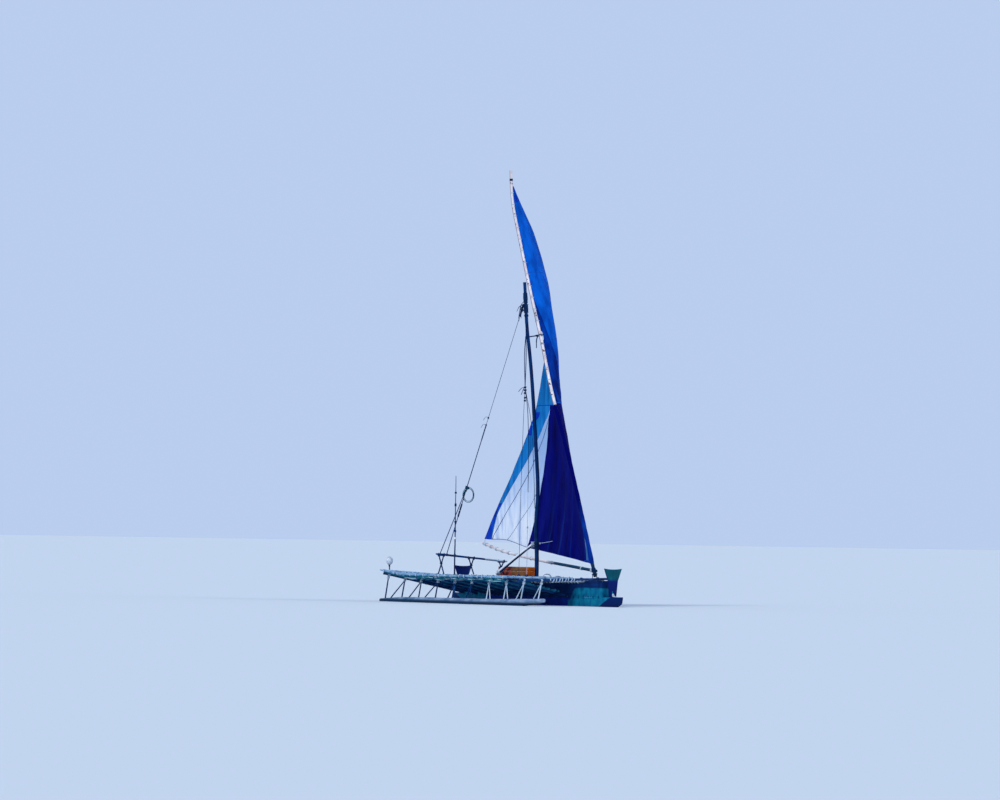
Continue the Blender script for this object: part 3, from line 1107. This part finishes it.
# Woven plastic sheeting: light comes through it, it has a soft sheen, and its tapes show as a fine grid.
# The tapes are 3 mm wide, drawn to 6 mm so that they show. Wet folds low down are lighter.
def woven_sheeting(name, deep, base, streak, glow, gloss=0.06, folds_down=None, shade_up=None):
    material, tree, surface, place = start_material("woven_sheeting_" + name, 0.7, gloss)
    stretch = add_node(tree, "Mapping", {"Vector": place["Object"], "Scale": (3.0, 3.0, 0.5)})
    folds = add_node(tree, "TexNoise", {"Vector": stretch, "Scale": 1.6, "Detail": 5.0, "Roughness": 0.55})
    colour = ramp(tree, folds, [(0.36, deep), (0.5, base), (0.7, streak)])
    feed(surface, {"Base Color": colour})
    if folds_down:
        long_way = add_node(tree, "Mapping", {"Vector": place["UV"], "Scale": (16.0, 1.1, 1.0)})
        long_folds = add_node(tree, "TexNoise", {"Vector": long_way, "Scale": 1.0, "Detail": 3.0,
                                                 "Roughness": 0.5})
        narrow = add_node(tree, "MapRange", {"Value": long_folds, "From Min": 0.54, "From Max": 0.68})
        low = fade(tree, place["UV"], "Y", 0.62, 0.12)
        mask = add_node(tree, "Math", {0: narrow, 1: low}, operation="MULTIPLY")
        mix_colours(tree, mask, colour, folds_down, surface)
    if shade_up:
        upper, from_z, to_z = shade_up
        colour = mix_colours(tree, fade(tree, place["Object"], "Z", from_z, to_z), colour, upper, surface)
    tapes = add_node(tree, "TexChecker", {"Vector": place["Object"], "Scale": 170.0}).outputs["Fac"]
    bump = add_node(tree, "Bump", {"Height": tapes, "Strength": 0.12, "Distance": 0.001})
    creases = add_node(tree, "Bump", {"Height": folds, "Normal": bump, "Strength": 0.5, "Distance": 0.03})
    feed(surface, {"Normal": creases})
    through = add_node(tree, "BsdfTranslucent", {"Color": colour})
    both = add_node(tree, "MixShader", {"Fac": glow, 1: surface, 2: through})
    feed(tree.nodes["Material Output"], {"Surface": both})
    return material


sail_blue = woven_sheeting("blue", "015AC2", "026ED8", "067CE8", 0.4)
sail_navy = woven_sheeting("navy", "00004C", "000464", "020C72", 0.03, 0.02, folds_down="06287E")
sail_white = woven_sheeting("white", "DCE6F6", "F6FAFF", "FFFFFF", 0.42, shade_up=("B8D2EE", 2.3, 4.2))
sail_cyan = woven_sheeting("light_blue", "0A70B8", "168CD4", "36A4E0", 0.35)
sail_royal = woven_sheeting("royal_blue", "012CA4", "0240C8", "0A58DC", 0.2)
sail_dusk = woven_sheeting("dark_blue", "021C66", "033290", "0646A8", 0.1, 0.02)
sail_pale = woven_sheeting("pale_blue", "4A88C4", "6FA8D8", "9CC8E8", 0.4)
STRIP_EDGE = [(5.0, 0.3), (5.74, 0.267), (6.31, 0.235), (6.78, 0.165), (7.2, 0.13), (7.5, 0.105),
              (7.8, 0.08), (8.1, 0.055), (8.35, 0.04)]


def strip_edge(r):
    """Where the dark strip along the peak's luff ends."""
    for (low, low_t), (high, high_t) in zip(STRIP_EDGE, STRIP_EDGE[1:]):
        if r <= high:
            return max(low_t + (high_t - low_t) * (r - low) / (high - low), yard_gap(r) + 0.004)
    return max(STRIP_EDGE[-1][1], yard_gap(r) + 0.004)


def tack_edge(r):
    """Where the blue patch at the tack ends."""
    return max(yard_gap(r) + 0.002, 0.034 - 0.006 * r)


def set_panel(part, material, slot, grid, left, right_edge, patches=()):
    """A panel of the sail, with the patches and strips sewn over it, which show on both faces."""
    sewn = [cut_panel(name, cloth, "sail_blue", *cut, PATCH_THICK)[0] for name, cloth, *cut in patches]
    panel, flat_size, area = cut_panel(f"sail_{part}_cloth", material, slot, *grid, left, right_edge,
                                       SHEET_THICK, "sail_" + part)


set_panel("peak", sail_blue, "sail_blue", (140, 20, PEAK_ROW, LAST_ROW), yard_gap, straight(1), [
    ("peak_dark_strip", sail_dusk, 66, 8, PEAK_ROW + 0.02, 8.32, off_yard(0.001), strip_edge),
    ("peak_light_strip", sail_cyan, 20, 8, PEAK_ROW + 0.02, 6.95, straight(-0.26, 0.18), straight(0.996)),
    ("peak_tip_patch", sail_royal, 8, 4, 11.2, 11.95, off_yard(0.02), straight(0.98)),
])
set_panel("luff", sail_navy, "sail_navy", (90, 48, 0, PEAK_ROW - 0.01), yard_gap, luff_edge, [
    ("tack_pale_strip", sail_pale, 14, 2, 0.12, 1.25, straight(0.036, -0.004), straight(0.058, -0.008)),
    ("tack_blue_patch", sail_royal, 14, 3, 0.02, 1.0, off_yard(0.001), tack_edge),
    ("tack_corner_patch", sail_royal, 3, 6, 0.015, 0.14, off_yard(0.002), straight(0.1, -0.3)),
    ("luff_white_patch", sail_white, 3, 2, 2.1, 2.22, straight(0.034), straight(0.05)),
])
set_panel("centre", sail_white, "sail_white", (60, 18, 0, 4.75), past_seam(luff_edge), leech_edge)
set_panel("leech", sail_cyan, "sail_cyan", (70, 10, 0, PEAK_ROW - 0.01), past_seam(leech_edge), straight(1),
          [
    ("clew_blue_patch", sail_royal, 18, 3, 0.005, 1.36, lambda r: leech_edge(r) + 0.008, straight(0.998)),
    ("leech_upper_patch", sail_royal, 8, 4, 4.12, 4.74, straight(1.535, -0.14, 0.9), straight(0.997)),
    ("leech_lower_patch", sail_royal, 6, 3, 3.66, 4.02, straight(0.64, 0.08), straight(0.997)),
])


# Seams and hems: lapped edges sewn with dark thread, and a bolt rope inside the leech and the foot.
# The lacing goes round the yard at each foot or so of the peak, and ties hold tack and clew.
def seam(radius, spots, each=6):
    """A sewn line that runs over the cloth, from rows and places along them."""
    path = smooth_line([(r, t, 0) for r, t in spots], each)
    return [cloth_point(min(LAST_ROW, max(0, p.x)), min(1, max(0, p.y))) for p in path], radius


HEM_ROPE = 0.008
seam_lines = [
    seam(0.0105, [(4.6, 0.712), (4.23, 0.721), (3.08, 0.793), (2.54, 0.816), (1.5, 0.883), (0.4, 0.928),
                  (0.0, 0.932)]),
    seam(0.007, [(1.9, 0.68), (1.5, 0.703), (0.96, 0.752), (0.31, 0.784), (0.0, 0.8)]),
    seam(0.006, [(r / 2, luff_edge(r / 2)) for r in range(10)], 4),
    seam(0.005, [(r / 2, leech_edge(r / 2)) for r in range(9)], 4),
    seam(0.006, [(PEAK_ROW - 0.005, t / 10) for t in range(1, 11)], 4),
    seam(0.004, [(7.0, t) for t in (1.0, 0.6, 0.3, 0.06)], 5),
    seam(0.004, [(8.8, t) for t in (1.0, 0.6, 0.3, 0.08)], 5),
    seam(HEM_ROPE, [(r / 2, 1) for r in range(24)], 3),
    seam(HEM_ROPE, [(0, t / 16) for t in range(1, 17)], 4),
]
thread_navy = laid_rope("dark_sail_thread", "1C3A8C", "0A1858")
tubes("sail_seams_and_hems", seam_lines, thread_navy, "sail_navy", body="rig")


def row_at(z):
    """The row number whose luff is at a height on the yard."""
    low, high = 0.0, float(LAST_ROW)
    for _ in range(30):
        middle = (low + high) / 2
        low, high = (middle, high) if row_values(middle)[0] < z else (low, middle)
    return low


LACING_FROM, LACING_STEP, LACINGS, STROP_AT = 5.75, 0.32, 18, 7.24
lacing_lines = []
for z in (LACING_FROM + k * LACING_STEP for k in range(LACINGS)):
    if abs(z - STROP_AT) < 0.12:
        continue
    here, way = on_line(yard_line, z), on_line(yard_line, z + 0.05) - on_line(yard_line, z - 0.05)
    lacing_lines.append(binding(here, way, yard_radius(z) + 0.005, 2, 0.009))
    r = row_at(z)
    eyelet = cloth_point(r, yard_gap(r) + 0.02 / row_length(r))
    side = here + (eyelet - here).normalized() * yard_radius(z)
    lacing_lines += [([side + upward * shift, eyelet], 0.0045) for shift in (-0.012, 0.012)]
tubes("yard_lacing", lacing_lines, rope_pale, "rope_pale", body="rig")
heel_way = on_line(yard_line, 1.1) - on_line(yard_line, 0.9)
tubes("yard_turns_dark", [binding(on_line(yard_line, 11.54), (0, 0, 1), yard_radius(11.5) + 0.005, 5),
                          binding(on_line(yard_line, 0.97), heel_way, yard_radius(1.0) + 0.008, 6, 0.016)],
      rope_dark, "rope_dark", body="rig")

tack_hole, clew_hole = cloth_point(0.05, 0.03), cloth_point(0, 0.995)
slack = (tack_hole + boom_points[1]) / 2 + Vector((0, 0.02, 0))
boom_ties += [
    (smooth_line([tack_hole, slack, boom_points[1]], 4), 0.006),
    (smooth_line([clew_hole, (clew_hole + boom_points[39]) / 2, boom_points[39]], 4), 0.007),
    binding(boom_points[39], boom_points[39] - boom_points[38], 0.042, 4, 0.014),
    binding(boom_points[1], boom_points[1] - boom_points[0], 0.052, 8, 0.016),
]
tubes("sail_ties_pale", boom_ties, rope_pale, "rope_pale", body="rig")

# Sleeve: a strip of woven sheeting that is wrapped round the yard up to where the peak panel starts.
# It is royal blue at its foot and navy above, sewn to the luff panel, and gathered at its upper end.
SLEEVE_FROM, SLEEVE_TO = 1.15, 5.38
sleeve_points = [on_line(yard_line, SLEEVE_FROM + (SLEEVE_TO - SLEEVE_FROM) * k / 60) for k in range(61)]
sleeve_radii = [0.05, *(0.057 + 0.007 * noise.noise(p * 6.0) for p in sleeve_points[1:-1]), 0.05]
sleeve_cloth = woven_sheeting("sleeve", "021C66", "033290", "0646A8", 0.1, 0.02,
                              shade_up=("00045C", 2.1, 2.9))
tubes("sail_sleeve", [(sleeve_points, sleeve_radii)], sleeve_cloth, "sail_navy", fineness=3, body="rig")


# Standing rope: the strop that holds the yard, the windward stay and the tack strop.
# The stay is thin above its splice. It splits at a big knot, and both legs go to the bench.
def rope_ring(middle, way, radius, rope):
    way = Vector(way).normalized()
    first = way.orthogonal().normalized()
    second = way.cross(first)
    points = [Vector(middle) + (first * math.cos(a) + second * math.sin(a)) * radius
              for a in (2 * math.pi * k / 20 for k in range(21))]
    return points, rope / 2


strop_mast, strop_yard = on_line(mast_line, 7.225), on_line(yard_line, 7.28)
strop_way = (strop_yard - strop_mast).normalized()
strop_end = strop_yard - strop_way * 0.062
strop_tail = [strop_end + Vector(hang) for hang in ((0, 0, 0), (-0.03, -0.03, -0.12), (-0.02, -0.035, -0.34))]
strop_lines = [
    rope_ring(strop_mast, MAST_WAY, 0.064, 0.022),
    rope_ring(strop_yard, on_line(yard_line, 7.36) - strop_yard, 0.066, 0.022),
    ([strop_mast + strop_way * 0.056, strop_end], 0.019),
    binding(strop_end - strop_way * 0.03, strop_way, 0.022, 5, 0.014),
    (smooth_line(strop_tail, 4), [0.015] * 6 + [0.012] * 3),
]
tubes("halyard_strop_rope", strop_lines, rope_dark, "rope_pale", stands_for="halyard_strop")

stay_seat = on_line(mast_line, 8.09)
stay_side = (KNOT - stay_seat) * Vector((1, 1, 0))
stay_top = stay_seat + stay_side.normalized() * 0.065
stay_way = KNOT - stay_top
splice, splice_end = stay_top.lerp(KNOT, 0.665), stay_top.lerp(KNOT, 0.74)
stay_lines = [rope_ring(stay_seat, MAST_WAY, 0.063, 0.024), ([stay_top, splice], 0.0065),
              ([splice, splice_end], [0.017, 0.016]), ([splice_end, KNOT], 0.0125)]
low_leg = Vector((-1.25, -2.085, 1.338))
for foot in (low_leg, Vector((-1.43, -2.19, 1.347))):
    stay_lines += [([KNOT, foot], 0.0115),
                   binding((foot.x, foot.y, bench_top(foot.y)), (0, 1, 0), 0.03, 4, 0.014)]
for part, radius, turns in ((0.0, 0.042, 4), (0.02, 0.036, 3), (0.05, 0.024, 3), (0.3, 0.018, 12),
                            (0.4, 0.018, 12)):
    stay_lines.append(binding(KNOT.lerp(low_leg, part), low_leg - KNOT, radius, turns, 0.014))
stay_lines.append(binding(stay_top.lerp(KNOT, 0.033), stay_way, 0.021, 16, 0.02))
for part in (0.62, 0.66):
    spot = stay_top.lerp(KNOT, part)
    loose_end = [spot, spot + Vector((-0.06, -0.05, 0.03)), spot + Vector((-0.1, -0.1, -0.07))]
    stay_lines += [binding(spot, stay_way, 0.016), (smooth_line(loose_end, 3), 0.005)]
tubes("windward_stay_rope", stay_lines, rope_dark, "rope_dark", stands_for="windward_stay")
coil_top = COIL_MIDDLE + Vector((-0.02, 0.01, 0.19))
tubes("coil_tie", [binding(coil_top, coil_flat @ Vector((1, 0, 0)), 0.034, 4, 0.01)], rope_dark, "rope_dark")

THWART_X, THWART_Z = 3.09, sheer(3.05) + RAIL_D + 0.027
heel = on_line(yard_line, 0.86)
tack_lines = [rope_ring(heel, on_line(yard_line, 0.9) - heel, 0.068, 0.02)]
for s in (-1, 1):
    rail_y = rail_middle(THWART_X, s)[1]
    tack_lines += [([(THWART_X, s * 0.066, THWART_Z), (heel.x, s * 0.066, 0.864)], 0.01),
                   binding((THWART_X, rail_y, THWART_Z - 0.012), (1, 0, 0), 0.05)]
tubes("tack_strop_rope", tack_lines, rope_dark, "rope_dark", stands_for="tack_thwart")
thwart_line = natural_pole([(THWART_X, y, THWART_Z) for y in (-0.3, 0.3)], 0.05, 0.05, 0.001, 3, 5)
tubes("tack_thwart_pole", [thwart_line], grey_pole, "pole_grey", fineness=2)
